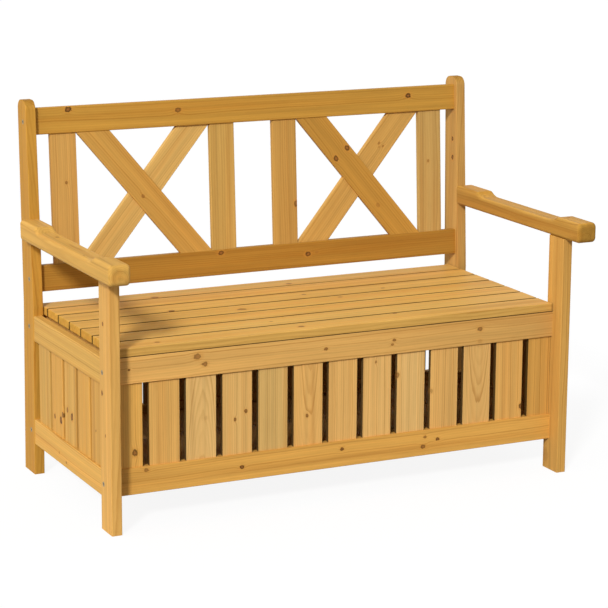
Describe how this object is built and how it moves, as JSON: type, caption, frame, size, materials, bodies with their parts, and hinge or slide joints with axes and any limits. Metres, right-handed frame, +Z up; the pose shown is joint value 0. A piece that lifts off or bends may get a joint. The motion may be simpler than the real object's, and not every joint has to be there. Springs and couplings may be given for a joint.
{
  "type": "garden storage bench",
  "caption": "Wooden garden bench with arms, a crossed-brace back and a hinged slatted seat that opens onto a slatted storage box.",
  "frame": {"origin": "on the floor, under the middle of the bench's overall width and depth", "axes": "+X along the bench to the right as seen from the front, +Y to the back, +Z up"},
  "size_m": [1.168, 0.622, 0.8605],
  "materials": {
    "wood": "oiled satin",
    "steel": "zinc plated"
  },
  "bodies": {
    "frame": {"arm_bolts": "steel", "arm_left": "wood", "arm_right": "wood", "back_bottom_rail": "wood", "back_brace_left_front": "wood", "back_brace_left_rear": "wood", "back_brace_right_front": "wood", "back_brace_right_rear": "wood", "back_slat_1": "wood", "back_slat_2": "wood", "back_slat_3": "wood", "back_slat_4": "wood", "back_top_rail": "wood", "end_bottom_rail_left": "wood", "end_bottom_rail_right": "wood", "end_slats_left": "wood", "end_slats_right": "wood", "end_top_rail_left": "wood", "end_top_rail_right": "wood", "floor_boards": "wood", "floor_cleats": "wood", "frame_bolts": "steel", "front_bottom_rail": "wood", "front_leg_left": "wood", "front_leg_right": "wood", "front_slat_01": "wood", "front_slat_02": "wood", "front_slat_03": "wood", "front_slat_04": "wood", "front_slat_05": "wood", "front_slat_06": "wood", "front_slat_07": "wood", "front_slat_08": "wood", "front_slat_09": "wood", "front_slat_10": "wood", "front_slat_11": "wood", "front_slat_12": "wood", "front_slat_13": "wood", "front_top_rail": "wood", "hinge_leaves_fixed": "steel", "hinge_pins": "steel", "rear_bottom_rail": "wood", "rear_post_left": "wood", "rear_post_right": "wood", "rear_slats": "wood", "rear_top_rail": "wood", "seat_back_board": "wood", "seat_cleat_left": "wood", "seat_cleat_right": "wood"},
    "lid": {"lid_slat_1": "wood", "lid_slat_2": "wood", "lid_slat_3": "wood", "lid_slat_4": "wood", "lid_slat_5": "wood", "lid_slat_6": "wood", "lid_battens": "wood", "lid_screws": "steel", "hinge_leaves_lid": "steel"}
  },
  "joints": [
    {"name": "lid_hinge", "type": "hinge", "parent": "frame", "child": "lid", "pos_m": [0, 0.2105, 0.3921], "axis": [-1, 0, 0], "range_deg": [0, 97]}
  ]
}
